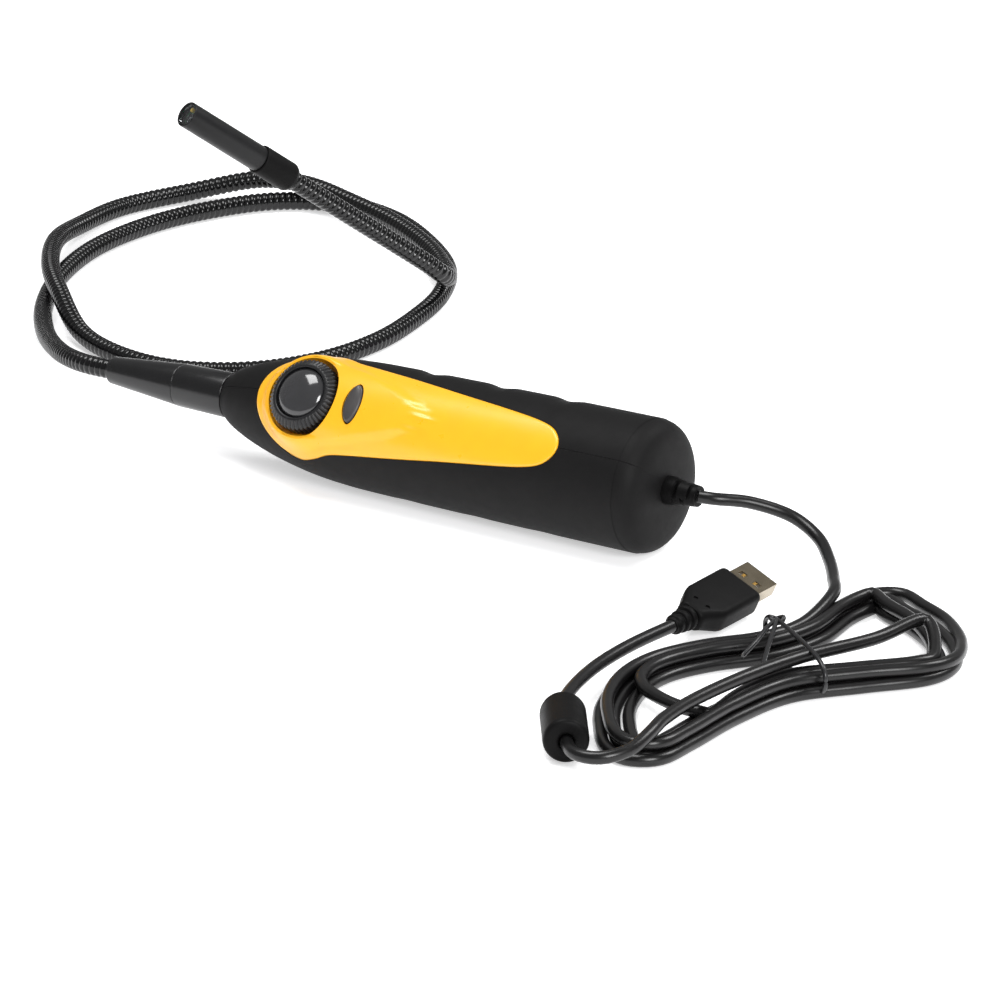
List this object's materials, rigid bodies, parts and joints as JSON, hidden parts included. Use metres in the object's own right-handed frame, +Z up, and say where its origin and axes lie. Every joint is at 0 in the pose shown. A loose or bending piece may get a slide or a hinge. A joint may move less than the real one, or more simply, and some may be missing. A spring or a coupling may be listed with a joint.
{
  "type": "usb inspection camera",
  "caption": "Handheld USB inspection camera: torch-shaped handle with knob and button, coiled gooseneck with raised camera head, and a USB cable tied in a hank.",
  "frame": {"origin": "on the table, under the middle of the handle, gooseneck and camera head together", "axes": "+Z up from the table, +X along the handle towards its cable end, +Y away from the side the control panel leans to"},
  "size_m": [0.4848, 0.4057, 0.094],
  "materials": {
    "soft_touch_black": "soft-touch matt",
    "yellow_plastic": "satin gloss",
    "gloss_black": "gloss",
    "smoked_cap": "high gloss",
    "button_grey": "fine grain",
    "chip_black": "matt",
    "board_green": "solder mask",
    "ivory_plastic": "satin",
    "wire_grey": "satin",
    "steel": "plated",
    "cable_black": "satin PVC",
    "neck_black": "ridged gloss PVC",
    "boot_black": "matt",
    "window_glass": "clear",
    "lens_glass": "coated",
    "led_yellow": "clear resin over yellow phosphor",
    "tie_black": "satin",
    "ferrite_grey": "sintered",
    "plug_black": "satin PVC",
    "gold_contacts": "gold flash"
  },
  "bodies": {
    "handle": {"left_shell": "soft_touch_black", "right_shell": "soft_touch_black", "control_panel": "yellow_plastic", "knob_potentiometer": "chip_black", "snapshot_switch": "chip_black", "circuit_board": "board_green", "circuit_chips": "chip_black", "cable_socket": "ivory_plastic", "signal_wires": "wire_grey", "shell_screws": "steel", "strain_relief": "cable_black", "cable_core_end": "cable_black", "ferrule_collar": "gloss_black", "ferrule_sleeve": "gloss_black", "gooseneck_coil": "neck_black", "usb_cable": "cable_black", "usb_cable_hank": "cable_black", "usb_cable_tail": "cable_black", "hank_tie": "tie_black", "ferrite_cover": "cable_black", "ferrite_core": "ferrite_grey", "plug_overmould": "plug_black", "plug_shell": "steel", "plug_tongue": "ivory_plastic", "plug_contacts": "gold_contacts"},
    "knob": {"brightness_knob": "gloss_black", "knob_cap": "smoked_cap", "knob_shaft": "steel"},
    "button": {"snapshot_button": "button_grey"},
    "riser": {"gooseneck_riser": "neck_black"},
    "camera_arm": {"gooseneck_arm": "neck_black", "head_boot": "boot_black", "head_barrel": "gloss_black", "lens_window": "window_glass", "camera_lens": "chip_black", "lens_glass": "lens_glass", "led_board": "board_green", "head_led": "led_yellow", "sensor_board": "board_green", "image_sensor": "chip_black"}
  },
  "joints": [
    {"name": "brightness_turn", "type": "hinge", "parent": "handle", "child": "knob", "pos_m": [0.04141, -0.1044, 0.02071], "axis": [-0.0064, -0.788, 0.6156], "range_deg": [-140, 140]},
    {"name": "snapshot_press", "type": "slide", "parent": "handle", "child": "button", "axis": [0.0064, 0.788, -0.6156], "range_m": [0, 0.0008], "stiffness_N_per_m": 1800, "springref_m": -0.0003},
    {"name": "neck_lift", "type": "hinge", "parent": "handle", "child": "riser", "pos_m": [-0.0211, 0.0401, 0.022], "axis": [-0.9118, 0.4106, 0], "range_deg": [-30, 30]},
    {"name": "neck_swing", "type": "hinge", "parent": "riser", "child": "camera_arm", "pos_m": [-0.03169, 0.01658, 0.04094], "axis": [0.2431, 0.5397, 0.806], "range_deg": [-35, 35]}
  ]
}
